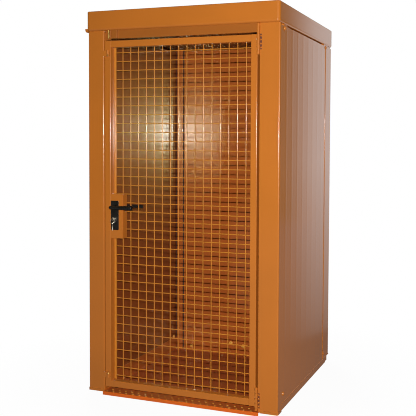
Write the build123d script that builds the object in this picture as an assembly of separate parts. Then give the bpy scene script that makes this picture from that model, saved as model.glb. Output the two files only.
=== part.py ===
from build123d import *
import os

# Gas cylinder container: a flat-roofed steel store with three thick wall panels
# and one mesh door, hinged on the right. Millimetres, +Z up, front towards -Y.
# While the pieces are made, X = 0 is the middle of the width, Y = 0 the front
# face of the walls and Z = 0 the ground. They are written about the middle of
# the footprint of the whole store.

# Overall body
body_width = 1152.0
body_depth = 1025.0
base_height = 11.0
wall_height = 2057.5
roof_height = 109.5

# Wall panels
side_wall = 101.0
rear_wall = 137.0
front_edge_radius = 6.0
seam_edge_radius = 3.0
corner_strip = 38.0
groove_width = 24.0
groove_depth = 22.0
shoe_height = 14.0
shoe_proud = 3.0
front_foot = 57.0
plinth_height = 39.0
plinth_recess = 8.0

# Ventilation gap between the walls and the roof, which stands on four spacers
vent_gap = 10.0
vent_front = 12.0
spacer_width = 50.0
front_spacer_start = 63.0
front_spacer_depth = 50.0
rear_spacer_start = 846.0
rear_spacer_depth = 85.0

# Base rails along the foot of the side walls, inside
rail_sheet = 3.0
rail_height = 88.0
rail_front = 60.0

# Roof
roof_front_overhang = 15.0
roof_side_overhang = 2.0
roof_rear_overhang = 15.0
roof_lower_radius = 14.0
roof_upper_bevel = 3.0
roof_corner_radius = 16.0

# Drip gutter along the left eave
gutter_reach = 20.0
gutter_depth = 20.0
gutter_sheet = 2.0
gutter_drop = 15.0

# Base
base_bar_width = 70.0
base_bar_side_inset = 12.0
base_bar_end_inset = 30.0
floor_sheet = 3.0

# Threshold
threshold_height = 18.5
threshold_reach = 20.0
threshold_tread = 75.0
threshold_sheet = 3.0
threshold_end_gap = 1.0

# Doorway
jamb_strip_width = 12.0
jamb_strip_depth = 30.0
lintel_height = 47.0
lintel_depth = 20.0
lintel_sheet = 3.0
pocket_width = 36.0

# Door frame of square-cornered tube
lock_gap = 6.0
hinge_gap = 12.5
door_bottom = 43.5
head_gap = 10.5
tube_width = 37.0
tube_depth = 40.0
tube_wall = 2.0
tube_radius = 3.0

# Welded mesh on the back of the door frame
mesh_bar = 5.0
mesh_pitch = 50.0
mesh_first_bar = 41.5
mesh_side_margin = 20.0
mesh_first_row = 5.0
mesh_top_margin = 5.0
mesh_edge_width = 14.0

# Lock and handles
lock_case_width = 80.0
lock_case_height = 250.0
lock_case_front = -1.5
mesh_on_case = 8.0
lock_case_below_spindle = 178.5
case_cover_proud = 2.0
case_cover_inset = 2.0
plate_width = 49.0
plate_height = 166.0
plate_thickness = 6.0
plate_radius = 6.0
plate_bevel = 1.8
plate_below_spindle = 131.5
plate_from_stile = 5.0
spindle_height = 1078.0
spindle_size = 8.0
spindle_clearance = 0.8
collar_radius = 10.5
collar_length = 16.0
lever_radius = 9.5
lever_neck = 40.0
inner_lever_neck = 24.0
lever_length = 146.0
lever_tip_bevel = 4.0
lever_running_gap = 0.4
cylinder_below_spindle = 67.5
cylinder_radius = 8.5
cylinder_web = 5.0
cylinder_height = 33.0
cylinder_proud = 3.5
key_thickness = 2.2
key_bow_radius = 11.0
key_bow_set = 8.8
key_bow_hole = 4.0
key_hole_set = 3.85
key_blade = 7.5
key_blade_out = 6.0

# Hinges: knuckles on one pin, standing in the gap beside the door
knuckle_length = 26.25
short_knuckles = 4
upper_end_knuckle = 51.0
lower_end_knuckle = 10.0
knuckle_radius = 7.5
knuckle_gap = 1.0
reach_offset = 0.5
pin_radius = 4.0
pin_running_gap = 0.08
pin_head = 4.0
pin_head_bevel = 3.0
hinge_axis_in_gap = 5.5
hinge_axis_front = -4.0
leaf_thickness = 3.0
leaf_front = 5.0
leaf_back = 30.0
upper_hinge_below_top = 4.5
lower_hinge_bottom = 25.0

# Stop lugs on the lock stile and bracket in the lintel pocket
lug_height = 32.0
lug_thickness = 6.0
lug_front_gap = 5.5
lug_overlap = 6.0
lug_post = 20.0
lug_post_inset = 2.0
lug_post_set = 4.0
lug_edge_gap = 55.0
bracket_block = 37.0
bracket_block_depth = 10.0
bracket_block_radius = 4.0
bracket_pin_radius = 5.0
bracket_pin_gap = 4.0
bracket_pin_rise = 4.0
bracket_block_gap = 5.0
bracket_web = 3.0
bracket_web_overlap = 1.0

# How far a cutting solid runs past the faces it cuts
cut_over = 1.0

# Within how much an edge counts as lying at a given place
same_place = 0.01

# Places that follow from the sizes above
half_width = body_width / 2
opening_left = -half_width + side_wall
opening_right = half_width - side_wall - jamb_strip_width
wall_bottom = base_height
wall_top = wall_bottom + wall_height
plinth_top = wall_bottom + plinth_height
roof_top = wall_top + roof_height
side_wall_depth = body_depth - rear_wall
lintel_bottom = wall_top - lintel_height
floor_top = wall_bottom + floor_sheet
door_left = opening_left + lock_gap
door_right = opening_right - hinge_gap
door_top = lintel_bottom - head_gap
door_width = door_right - door_left
door_height = door_top - door_bottom
mesh_back = tube_depth + 2 * mesh_bar
mesh_columns = int((door_width - mesh_first_bar - mesh_side_margin) // mesh_pitch) + 1
mesh_rows = int((door_height - mesh_first_row - mesh_top_margin) // mesh_pitch) + 1
lock_case_bottom = spindle_height - lock_case_below_spindle
plate_bottom = spindle_height - plate_below_spindle
lever_axis_x = door_left + tube_width + plate_from_stile + plate_width / 2
plate_outer_y = lock_case_front - case_cover_proud
plate_inner_y = tube_depth
hinge_axis_x = door_right + hinge_axis_in_gap
lever_front_y = plate_outer_y - plate_thickness - lever_running_gap - lever_neck - lever_radius

# Middle of the whole footprint, lever and gutter included
reach_left = -half_width - roof_side_overhang - gutter_reach
reach_right = half_width + roof_side_overhang
reach_front = lever_front_y
reach_rear = body_depth + roof_rear_overhang
to_middle = Location((-(reach_left + reach_right) / 2, -(reach_front + reach_rear) / 2, 0))


def block(x0, x1, y0, y1, z0, z1):
    """A plain block between two corners."""
    size = (x1 - x0, y1 - y0, z1 - z0)
    middle = ((x0 + x1) / 2, (y0 + y1) / 2, (z0 + z1) / 2)
    return Pos(*middle) * Box(*size)


def rod(x, y, z0, z1, radius):
    """An upright round rod."""
    return Pos(x, y, (z0 + z1) / 2) * Cylinder(radius, z1 - z0)


def edges_at(shape, axis, **place):
    """Edges along an axis whose middles lie at the given X, Y or Z."""
    chosen = shape.edges().filter_by(axis)
    for name, value in place.items():
        chosen = [e for e in chosen if abs(getattr(e.center(), name) - value) < same_place]
    return chosen


def vent_space():
    """The gap all round under the roof, left out where the spacers stand."""
    top = wall_top + cut_over
    gap = block(
        -body_width, body_width, vent_front, body_depth + cut_over, wall_top - vent_gap, top
    )
    for side in (-1, 1):
        outer = side * half_width
        inner = side * (half_width - spacer_width)
        low, high = min(outer, inner), max(outer, inner)
        for start, depth in (
            (front_spacer_start, front_spacer_depth),
            (rear_spacer_start, rear_spacer_depth),
        ):
            gap -= block(low, high, start, start + depth, wall_top - vent_gap, top)
    return gap


def plinth_space(side):
    """The shallow recess along the foot of a side, behind its front foot."""
    outer = side * (half_width + cut_over)
    inner = side * (half_width - plinth_recess)
    low, high = min(outer, inner), max(outer, inner)
    return block(low, high, front_foot, body_depth + cut_over, wall_bottom - cut_over, plinth_top)


def side_wall_panel(side):
    """Side wall: one thick panel, rounded where its front face turns the corner."""
    outer = side * half_width
    inner = side * (half_width - side_wall)
    panel = block(min(outer, inner), max(outer, inner), 0, side_wall_depth, wall_bottom, wall_top)
    panel = fillet(edges_at(panel, Axis.Z, X=outer, Y=0), front_edge_radius)
    if side < 0:
        panel = fillet(edges_at(panel, Axis.Z, X=inner, Y=0), front_edge_radius)
    panel = fillet(edges_at(panel, Axis.Z, X=outer, Y=side_wall_depth), seam_edge_radius)
    return panel - vent_space() - plinth_space(side)


def rear_wall_panel():
    """Rear wall across the full width, with an upright groove beside each inner corner."""
    panel = block(-half_width, half_width, side_wall_depth, body_depth, wall_bottom, wall_top)
    for side in (-1, 1):
        near = side * (half_width - side_wall - corner_strip)
        far = near - side * groove_width
        low, high = min(near, far), max(near, far)
        panel -= block(low, high, side_wall_depth, side_wall_depth + groove_depth, floor_top, wall_top)
    for side in (-1, 1):
        outer = side * half_width
        panel = fillet(edges_at(panel, Axis.Z, X=outer, Y=side_wall_depth), seam_edge_radius)
        panel = fillet(edges_at(panel, Axis.Z, X=outer, Y=body_depth), front_edge_radius)
        panel -= plinth_space(side)
    panel -= block(
        -body_width,
        body_width,
        body_depth - plinth_recess,
        body_depth + cut_over,
        wall_bottom - cut_over,
        plinth_top,
    )
    return panel - vent_space()


def wall_shoe(side):
    """Strip round the front foot of a side wall."""
    outer = side * (half_width + shoe_proud)
    inner = side * (half_width - side_wall)
    low, high = min(outer, inner), max(outer, inner)
    shoe = block(low, high, -shoe_proud, front_foot, wall_bottom, wall_bottom + shoe_height)
    shoe = fillet(edges_at(shoe, Axis.Z, X=outer, Y=-shoe_proud), front_edge_radius + shoe_proud)
    return shoe - side_wall_panel(side)


def roof_slab():
    """Flat roof with rolled lower edges, a little proud of the walls, its top edges bevelled."""
    width = body_width + 2 * roof_side_overhang
    depth = body_depth + roof_front_overhang + roof_rear_overhang
    middle_y = (body_depth + roof_rear_overhang - roof_front_overhang) / 2
    roof = Pos(0, middle_y, (wall_top + roof_top) / 2) * Box(width, depth, roof_height)
    roof = fillet(roof.edges().filter_by(Axis.Z), roof_corner_radius)
    bottom = roof.faces().sort_by(Axis.Z)[0]
    roof = fillet(bottom.edges(), roof_lower_radius)
    top = roof.faces().sort_by(Axis.Z)[-1]
    return chamfer(top.edges(), roof_upper_bevel)


def drip_gutter():
    """Half-round sheet gutter hung on the left eave, closed by end plates."""
    x1 = -half_width - roof_side_overhang
    z1 = wall_top + gutter_drop
    profile = Pos(x1 - gutter_reach / 2, z1) * (
        Ellipse(gutter_reach / 2, gutter_depth)
        - Ellipse(gutter_reach / 2 - gutter_sheet, gutter_depth - gutter_sheet)
        - Pos(0, gutter_depth) * Rectangle(gutter_reach * 2, gutter_depth * 2)
    )
    length = body_depth + roof_front_overhang + roof_rear_overhang - 2 * roof_corner_radius
    start = -roof_front_overhang + roof_corner_radius
    trough = extrude(Plane.XZ.offset(-start) * profile, -length)
    end_profile = Pos(x1 - gutter_reach / 2, z1) * (
        Ellipse(gutter_reach / 2, gutter_depth)
        - Pos(0, gutter_depth) * Rectangle(gutter_reach * 2, gutter_depth * 2)
    )
    front_end = extrude(Plane.XZ.offset(-start) * end_profile, -gutter_sheet)
    rear_end = extrude(Plane.XZ.offset(-start - length + gutter_sheet) * end_profile, -gutter_sheet)
    return trough + front_end + rear_end


def tube(x0, x1, z0, z1, along):
    """A length of door frame tube, open along its own axis."""
    outer = block(x0, x1, 0, tube_depth, z0, z1)
    outer = fillet(outer.edges().filter_by(along), tube_radius)
    front, back = tube_wall, tube_depth - tube_wall
    if along == Axis.Z:
        hollow = block(x0 + tube_wall, x1 - tube_wall, front, back, z0 - cut_over, z1 + cut_over)
    else:
        hollow = block(x0 - cut_over, x1 + cut_over, front, back, z0 + tube_wall, z1 - tube_wall)
    return outer - hollow


def mesh_half(first_row, rows, z0, z1):
    """Half of the welded mesh: upright bars in front, cross bars behind, fused where they meet."""
    left = door_left + mesh_bar
    right = door_right - mesh_bar
    bars = []
    for column in range(mesh_columns):
        x = door_left + mesh_first_bar + column * mesh_pitch
        at_edge = column in (0, mesh_columns - 1)
        half = (mesh_edge_width if at_edge else mesh_bar) / 2
        bars.append(block(x - half, x + half, tube_depth, tube_depth + mesh_bar, z0, z1))
    for row in range(first_row, first_row + rows):
        z = door_bottom + mesh_first_row + row * mesh_pitch
        low, high = z - mesh_bar / 2, z + mesh_bar / 2
        bars.append(block(left, right, tube_depth + mesh_bar, mesh_back, low, high))
    case_edge = door_left + tube_width + lock_case_width
    window = block(
        door_left,
        case_edge - mesh_on_case,
        tube_depth,
        mesh_back,
        lock_case_bottom + mesh_on_case,
        lock_case_bottom + lock_case_height - mesh_on_case,
    )
    return bars[0].fuse(*bars[1:]) - window


def lever(side):
    """Round lever handle on its collar: out along the spindle, then across towards the hinges."""
    face = plate_outer_y - plate_thickness if side < 0 else plate_inner_y + plate_thickness
    start = face + side * lever_running_gap
    end = start + side * (lever_neck if side < 0 else inner_lever_neck)
    collar = Pos(lever_axis_x, start + side * collar_length / 2, spindle_height) * (
        Rot(90, 0, 0) * Cylinder(collar_radius, collar_length)
    )
    neck = Pos(lever_axis_x, (start + end) / 2, spindle_height) * (
        Rot(90, 0, 0) * Cylinder(lever_radius, abs(end - start))
    )
    elbow = Pos(lever_axis_x, end, spindle_height) * Sphere(lever_radius)
    bar_length = lever_length - lever_radius
    bar = Rot(0, 90, 0) * Cylinder(lever_radius, bar_length)
    bar = chamfer(bar.edges().filter_by(GeomType.CIRCLE).sort_by(Axis.X)[-1], lever_tip_bevel)
    bar = Pos(lever_axis_x + bar_length / 2, end, spindle_height) * bar
    handle = collar + neck + elbow + bar
    hole = block(
        lever_axis_x - spindle_size / 2,
        lever_axis_x + spindle_size / 2,
        min(start, start + side * collar_length),
        max(start, start + side * collar_length),
        spindle_height - spindle_size / 2,
        spindle_height + spindle_size / 2,
    )
    return handle - hole


def spindle():
    """Square spindle through the lock, into both collars."""
    y0 = plate_outer_y - plate_thickness - lever_running_gap - collar_length
    y1 = plate_inner_y + plate_thickness + lever_running_gap + collar_length
    half = spindle_size / 2
    return block(
        lever_axis_x - half, lever_axis_x + half, y0, y1, spindle_height - half, spindle_height + half
    )


def spindle_way(y0, y1):
    """Round way for the spindle through the lock and the plates."""
    radius = spindle_size / 2**0.5 + spindle_clearance
    return Pos(lever_axis_x, (y0 + y1) / 2, spindle_height) * (Rot(90, 0, 0) * Cylinder(radius, y1 - y0))


def cylinder_profile():
    """Pear-shaped outline of the lock cylinder, round above and a narrow web below."""
    web_height = cylinder_height - cylinder_radius - cylinder_web
    web = Pos(0, -web_height / 2) * Rectangle(2 * cylinder_web, web_height)
    foot = Pos(0, -web_height) * Circle(cylinder_web)
    return Circle(cylinder_radius) + web + foot


def cylinder_body(y0, y1):
    """The lock cylinder between two depths."""
    place = Plane(
        origin=(lever_axis_x, y0, spindle_height - cylinder_below_spindle),
        x_dir=(1, 0, 0),
        z_dir=(0, -1, 0),
    )
    return extrude(place * cylinder_profile(), -(y1 - y0))


def lock_case():
    """Sheet lock case welded beside the lock stile, with a cover plate and ways for spindle and cylinder."""
    x0 = door_left + tube_width
    x1 = x0 + lock_case_width
    z0 = lock_case_bottom
    z1 = z0 + lock_case_height
    case = block(x0, x1, lock_case_front, tube_depth, z0, z1)
    case = fillet(edges_at(case, Axis.Y, X=x1), tube_radius)
    cover = block(
        x0 + case_cover_inset,
        x1 - case_cover_inset,
        plate_outer_y,
        lock_case_front,
        z0 + case_cover_inset,
        z1 - case_cover_inset,
    )
    cover = fillet(cover.edges().filter_by(Axis.Y), tube_radius)
    case += cover
    case -= spindle_way(plate_outer_y - cut_over, tube_depth + cut_over)
    case -= cylinder_body(plate_outer_y - cut_over, tube_depth + cut_over)
    return case


def handle_plate(y0, y1):
    """Long plate behind a lever."""
    plate = block(
        lever_axis_x - plate_width / 2,
        lever_axis_x + plate_width / 2,
        y0,
        y1,
        plate_bottom,
        plate_bottom + plate_height,
    )
    plate = fillet(plate.edges().filter_by(Axis.Y), plate_radius)
    outer_face = y0 if y0 < lock_case_front else y1
    rim = [e for e in plate.edges() if abs(e.center().Y - outer_face) < same_place]
    plate = chamfer(rim, plate_bevel)
    plate -= spindle_way(y0 - cut_over, y1 + cut_over)
    return plate - cylinder_body(y0 - cut_over, y1 + cut_over)


def lock_cylinder():
    """The lock cylinder, a little proud of both plates."""
    y0 = plate_outer_y - plate_thickness - cylinder_proud
    y1 = plate_inner_y + plate_thickness + cylinder_proud
    return cylinder_body(y0, y1)


def key():
    """Key standing in the outer end of the cylinder, its bow upright."""
    tip = plate_outer_y - plate_thickness - cylinder_proud
    z = spindle_height - cylinder_below_spindle
    blade_end = tip - key_blade_out
    bow_y = blade_end - key_bow_set
    left, right = lever_axis_x - key_thickness / 2, lever_axis_x + key_thickness / 2
    blade = block(left, right, blade_end, tip, z - key_blade / 2, z + key_blade / 2)
    bow = Pos(lever_axis_x, bow_y, z) * (Rot(0, 90, 0) * Cylinder(key_bow_radius, key_thickness))
    eye = Rot(0, 90, 0) * Cylinder(key_bow_hole, key_thickness + 2 * cut_over)
    eye = Pos(lever_axis_x, bow_y - key_hole_set, z) * eye
    return blade + bow - eye


def knuckle_spans(end, direction, end_knuckle):
    """Lower and upper end of each knuckle, from the end knuckle on the jamb towards the door's middle."""
    spans = []
    start = end
    for length in [end_knuckle] + [knuckle_length] * short_knuckles:
        stop = start + direction * length
        spans.append((min(start, stop), max(start, stop)))
        start = stop + direction * knuckle_gap
    return spans


def hinge_half(spans, on_door):
    """One half of a hinge: every second knuckle, and the leaf welded to the door or the jamb."""
    half = None
    own = spans[1::2] if on_door else spans[0::2]
    for z0, z1 in own:
        knuckle = rod(hinge_axis_x, hinge_axis_front, z0, z1, knuckle_radius)
        reach = block(
            door_right if on_door else hinge_axis_x,
            hinge_axis_x if on_door else opening_right,
            hinge_axis_front + reach_offset,
            leaf_front + leaf_thickness,
            z0,
            z1,
        )
        piece = knuckle + reach
        half = piece if half is None else half + piece
    low = min(z0 for z0, z1 in own)
    high = max(z1 for z0, z1 in own)
    if on_door:
        low, high = max(low, door_bottom), min(high, door_top)
        leaf = block(door_right, door_right + leaf_thickness, leaf_front, leaf_back, low, high)
    else:
        leaf = block(opening_right - leaf_thickness, opening_right, leaf_front, leaf_back, low, high)
    half += leaf
    bore = pin_radius + pin_running_gap if on_door else pin_radius
    return half - rod(hinge_axis_x, hinge_axis_front, low - knuckle_length, high + knuckle_length, bore)


def hinge_pin(spans):
    """Hinge pin with a low bevelled head, fixed in the jamb's knuckles."""
    bottom = min(z0 for z0, z1 in spans)
    top = max(z1 for z0, z1 in spans)
    shank = rod(hinge_axis_x, hinge_axis_front, bottom, top, pin_radius)
    head = rod(hinge_axis_x, hinge_axis_front, top, top + pin_head, knuckle_radius)
    head = chamfer(head.edges().filter_by(GeomType.CIRCLE).sort_by(Axis.Z)[-1], pin_head_bevel)
    return shank + head


def stop_lug(z):
    """Lug on the lock stile: a short upright post and a plate that passes in front of the wall's edge."""
    post_x = door_left + tube_width - lug_post / 2 - lug_post_inset
    plate_y = -lug_front_gap - lug_thickness
    post = rod(post_x, plate_y + lug_post_set, z, z + lug_height, lug_post / 2)
    post &= block(post_x - lug_post, post_x + lug_post, plate_y - lug_post, 0, z, z + lug_height)
    plate = block(opening_left - lug_overlap, post_x, plate_y, plate_y + lug_thickness, z, z + lug_height)
    seat = block(door_left + tube_radius, post_x, plate_y, 0, z, z + lug_height)
    return post + plate + seat


def lintel():
    """Head of the doorway: a sheet folded back along its lower edge, short of the pocket and the hinge."""
    left = opening_left + pocket_width
    right = door_right - tube_radius
    head = block(left, right, 0, lintel_depth, lintel_bottom, wall_top)
    hollow = block(
        left - cut_over,
        right + cut_over,
        lintel_sheet,
        lintel_depth + cut_over,
        lintel_bottom + lintel_sheet,
        wall_top + cut_over,
    )
    return head - hollow


def hinge_jamb():
    """Upright strip that carries the hinges, its free front edge rounded."""
    strip = block(
        opening_right, opening_right + jamb_strip_width, 0, jamb_strip_depth, threshold_height, wall_top
    )
    return fillet(edges_at(strip, Axis.Z, X=opening_right, Y=0), seam_edge_radius)


def pocket_bracket():
    """Bracket beside the pocket: an upright pin in front of the lintel and a rounded block."""
    x0 = opening_left + pocket_width
    pin_x = x0 + bracket_pin_radius + bracket_pin_gap
    block_x0 = pin_x + bracket_pin_radius + bracket_block_gap
    bottom = lintel_bottom + bracket_pin_rise
    pin = rod(pin_x, -bracket_pin_radius, bottom, wall_top, bracket_pin_radius)
    body = block(block_x0, block_x0 + bracket_block, -bracket_block_depth, 0, lintel_bottom, wall_top)
    body = fillet(edges_at(body, Axis.Z, Y=-bracket_block_depth), bracket_block_radius)
    web = block(pin_x, block_x0 + bracket_web_overlap, -bracket_web, 0, bottom, wall_top)
    return pin + body + web


def threshold():
    """Folded sheet threshold: a front lip down to the ground, the tread and a rear lip under the floor."""
    x0 = opening_left + threshold_end_gap
    x1 = opening_right + jamb_strip_width - threshold_end_gap
    y0 = -threshold_reach
    y1 = y0 + threshold_tread
    outer = block(x0, x1, y0, y1, 0, threshold_height)
    outer = fillet(edges_at(outer, Axis.X, Y=y0, Z=threshold_height), threshold_sheet)
    top = threshold_height - threshold_sheet
    return outer - block(x0, x1, y0 + threshold_sheet, y1 - threshold_sheet, 0, top)


def floor_plate():
    """Floor sheet between the walls, from the threshold to the rear wall."""
    front = -threshold_reach + threshold_tread
    return block(
        -half_width + side_wall, half_width - side_wall, front, side_wall_depth, wall_bottom, floor_top
    )


def base_rail(side):
    """Sheet rail along the foot of a side wall, standing on the floor plate."""
    wall_face = side * (half_width - side_wall)
    rail_face = wall_face - side * rail_sheet
    return block(
        min(wall_face, rail_face),
        max(wall_face, rail_face),
        rail_front,
        side_wall_depth,
        floor_top,
        floor_top + rail_height,
    )


def base_bar(x0, x1, y0, y1):
    """Flat base bar on the ground, under the walls and the floor."""
    return block(x0, x1, y0, y1, 0, base_height)


parts = {}
parts["wall_left"] = side_wall_panel(-1)
parts["wall_right"] = side_wall_panel(1)
parts["wall_rear"] = rear_wall_panel()
parts["wall_shoe_left"] = wall_shoe(-1)
parts["wall_shoe_right"] = wall_shoe(1)
parts["roof"] = roof_slab()
parts["drip_gutter"] = drip_gutter()
parts["lintel"] = lintel()
parts["pocket_bracket"] = pocket_bracket()
parts["hinge_jamb"] = hinge_jamb()
parts["threshold"] = threshold()
parts["floor_plate"] = floor_plate()
parts["base_rail_left"] = base_rail(-1)
parts["base_rail_right"] = base_rail(1)

bar_outer = half_width - base_bar_side_inset
bar_inner = bar_outer - base_bar_width
bar_front = base_bar_end_inset
bar_rear = body_depth - base_bar_end_inset
rear_bar_front = side_wall_depth - base_bar_width / 2
front_bar_front = threshold_tread - threshold_reach
parts["base_bar_left"] = base_bar(-bar_outer, -bar_inner, bar_front, bar_rear)
parts["base_bar_right"] = base_bar(bar_inner, bar_outer, bar_front, bar_rear)
parts["base_bar_rear"] = base_bar(
    -bar_inner, bar_inner, rear_bar_front, rear_bar_front + base_bar_width
)
parts["base_bar_front"] = base_bar(
    -bar_inner, bar_inner, front_bar_front, front_bar_front + base_bar_width
)

parts["door_stile_lock"] = tube(door_left, door_left + tube_width, door_bottom, door_top, Axis.Z)
parts["door_stile_hinge"] = tube(door_right - tube_width, door_right, door_bottom, door_top, Axis.Z)
rail_left = door_left + tube_width
rail_right = door_right - tube_width
parts["door_rail_bottom"] = tube(rail_left, rail_right, door_bottom, door_bottom + tube_width, Axis.X)
parts["door_rail_top"] = tube(rail_left, rail_right, door_top - tube_width, door_top, Axis.X)

lower_rows = mesh_rows // 2
mesh_split = door_bottom + mesh_first_row + (lower_rows - 0.5) * mesh_pitch
parts["mesh_lower"] = mesh_half(0, lower_rows, door_bottom + mesh_bar / 2, mesh_split)
parts["mesh_upper"] = mesh_half(lower_rows, mesh_rows - lower_rows, mesh_split, door_top - mesh_bar / 2)

parts["lock_case"] = lock_case()
parts["handle_plate_outer"] = handle_plate(plate_outer_y - plate_thickness, plate_outer_y)
parts["handle_plate_inner"] = handle_plate(plate_inner_y, plate_inner_y + plate_thickness)
parts["lock_cylinder"] = lock_cylinder()
parts["key"] = key()
parts["stop_lug_upper"] = stop_lug(door_top - lug_edge_gap - lug_height)
parts["stop_lug_lower"] = stop_lug(door_bottom + lug_edge_gap)

parts["lever_outer"] = lever(-1)
parts["lever_inner"] = lever(1)
parts["spindle"] = spindle()

hinges = {
    "upper": knuckle_spans(wall_top - upper_hinge_below_top, -1, upper_end_knuckle),
    "lower": knuckle_spans(lower_hinge_bottom, 1, lower_end_knuckle),
}
for place, spans in hinges.items():
    parts[f"hinge_{place}_jamb_half"] = hinge_half(spans, False)
    parts[f"hinge_{place}_door_half"] = hinge_half(spans, True)
    parts[f"hinge_{place}_pin"] = hinge_pin(spans)

os.makedirs("parts", exist_ok=True)
for name, shape in parts.items():
    export_step(to_middle * shape, f"parts/{name}.step")
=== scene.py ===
import math

import bmesh
import bpy
from mathutils import Matrix, Vector


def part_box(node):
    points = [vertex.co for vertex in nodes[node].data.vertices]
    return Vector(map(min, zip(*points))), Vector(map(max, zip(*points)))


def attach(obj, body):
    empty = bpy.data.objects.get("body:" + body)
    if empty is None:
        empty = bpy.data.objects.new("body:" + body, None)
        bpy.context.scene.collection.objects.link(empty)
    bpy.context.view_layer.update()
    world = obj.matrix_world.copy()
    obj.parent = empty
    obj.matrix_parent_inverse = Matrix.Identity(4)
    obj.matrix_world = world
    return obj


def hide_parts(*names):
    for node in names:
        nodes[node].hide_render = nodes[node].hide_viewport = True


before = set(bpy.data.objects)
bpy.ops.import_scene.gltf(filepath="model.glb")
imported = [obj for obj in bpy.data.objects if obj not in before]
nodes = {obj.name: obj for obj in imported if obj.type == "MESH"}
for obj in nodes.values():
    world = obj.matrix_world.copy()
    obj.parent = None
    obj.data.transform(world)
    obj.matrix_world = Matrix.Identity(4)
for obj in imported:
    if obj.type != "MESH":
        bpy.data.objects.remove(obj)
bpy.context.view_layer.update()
scene = bpy.context.scene


def linearColour(hexText):
    values = []
    for i in (0, 2, 4):
        c = int(hexText[i:i + 2], 16) / 255
        values.append(c / 12.92 if c <= 0.04045 else ((c + 0.055) / 1.055) ** 2.4)
    return (*values, 1.0)


def addNode(tree, kind, settings=None, links=None):
    # A setting is a socket's name or number, a property, or the stops of a colour ramp. A link
    # comes from a socket, or from a node's first output.
    node = tree.nodes.new(kind)
    for name, value in (settings or {}).items():
        if name == "stops":
            for element, (position, tone) in zip(node.color_ramp.elements, value):
                element.position, element.color = position, linearColour(tone)
        elif isinstance(name, int) or name in node.inputs:
            node.inputs[name].default_value = value
        else:
            setattr(node, name, value)
    for name, source in (links or {}).items():
        output = source.outputs[0] if isinstance(source, bpy.types.Node) else source
        tree.links.new(output, node.inputs[name])
    return node


def startMaterial(name):
    material = bpy.data.materials.new(name)
    material.use_nodes = True
    tree = material.node_tree
    tree.nodes.clear()
    return material, tree


# Most values of a noise texture lie between these two.
noiseLow, noiseHigh = 0.3, 0.7


# 1 on the faces that look into the store, and 0 on all others.
def insideShare(tree, place, look):
    parts = addNode(tree, "ShaderNodeSeparateXYZ", None, {"Vector": place})
    fromMiddle = addNode(tree, "ShaderNodeMath", {"operation": "SUBTRACT", 1: look["insideMiddle"]},
                         {0: parts.outputs["X"]})
    across = addNode(tree, "ShaderNodeMath", {"operation": "ABSOLUTE"}, {0: fromMiddle})
    betweenWalls = addNode(tree, "ShaderNodeMath", {"operation": "LESS_THAN", 1: look["insideHalf"]},
                           {0: across})
    behindDoor = addNode(tree, "ShaderNodeMapRange",
                         {"From Min": look["insideFrom"], "From Max": look["insideTo"]},
                         {"Value": parts.outputs["Y"]})
    beforeRear = addNode(tree, "ShaderNodeMath", {"operation": "LESS_THAN", 1: look["insideEnd"]},
                         {0: parts.outputs["Y"]})
    room = addNode(tree, "ShaderNodeMath", {"operation": "MULTIPLY"}, {0: behindDoor, 1: betweenWalls})
    return addNode(tree, "ShaderNodeMath", {"operation": "MULTIPLY"}, {0: room, 1: beforeRear})


# Polyester powder baked on sheet steel: a glossy skin with a fine orange peel, whose tone
# and gloss drift a little from place to place. Inside the store the coat is painted browner,
# as painted shade, and its shine is stronger, with a golden tint painted into its reflections.
def makePowderCoat(name, look):
    material, tree = startMaterial(name)
    place = addNode(tree, "ShaderNodeTexCoord").outputs["Object"]
    drift = addNode(tree, "ShaderNodeTexNoise",
                    {"Scale": 1000 / look["driftMm"], "Detail": look["driftDetail"]}, {"Vector": place})
    tone = addNode(tree, "ShaderNodeValToRGB",
                   {"stops": ((noiseLow, look["darkTone"]), (noiseHigh, look["lightTone"]))}, {"Fac": drift})
    gloss = addNode(tree, "ShaderNodeMapRange",
                    {"From Min": noiseLow, "From Max": noiseHigh,
                     "To Min": look["gloss"] - look["glossBelow"],
                     "To Max": look["gloss"] + look["glossAbove"]},
                    {"Value": drift})
    finish = {"Base Color": tone, "Roughness": gloss}
    if "insideTone" in look:
        within = insideShare(tree, place, look)
        inside = addNode(tree, "ShaderNodeValToRGB",
                         {"stops": ((noiseLow, look["insideTone"]), (noiseHigh, look["insideLightTone"]))},
                         {"Fac": drift})
        both = addNode(tree, "ShaderNodeMix", {"data_type": "RGBA"}, {0: within, 6: tone, 7: inside})
        tint = addNode(tree, "ShaderNodeMix",
                       {"data_type": "RGBA", 6: linearColour(look["tint"]),
                        7: linearColour(look["insideTint"])}, {0: within})
        dulled = addNode(tree, "ShaderNodeMapRange", {"To Max": look["insideDull"]}, {"Value": within})
        finish = {
            "Base Color": both.outputs[2],
            "Roughness": addNode(tree, "ShaderNodeMath", {"operation": "ADD"}, {0: gloss, 1: dulled}),
            "Specular Tint": tint.outputs[2],
        }
        for socket, outer, inner in (("Specular IOR Level", "shine", "insideShine"),
                                     ("Coat Weight", "haze", "insideHaze"),
                                     ("Coat Roughness", "hazeRoughness", "insideHazeRoughness")):
            finish[socket] = addNode(tree, "ShaderNodeMapRange",
                                     {"To Min": look[outer], "To Max": look[inner]}, {"Value": within})
    peel = addNode(tree, "ShaderNodeTexNoise",
                   {"Scale": 1000 / look["peelMm"], "Detail": look["peelDetail"]}, {"Vector": place})
    bump = addNode(tree, "ShaderNodeBump",
                   {"Strength": look["peelStrength"], "Distance": look["peelHeight"]}, {"Height": peel})
    shader = addNode(tree, "ShaderNodeBsdfPrincipled",
                     {"IOR": look["ior"], "Coat Weight": look["haze"],
                      "Coat Roughness": look["hazeRoughness"]}, {**finish, "Normal": bump})
    addNode(tree, "ShaderNodeOutputMaterial", None, {"Surface": shader})
    return material


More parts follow.
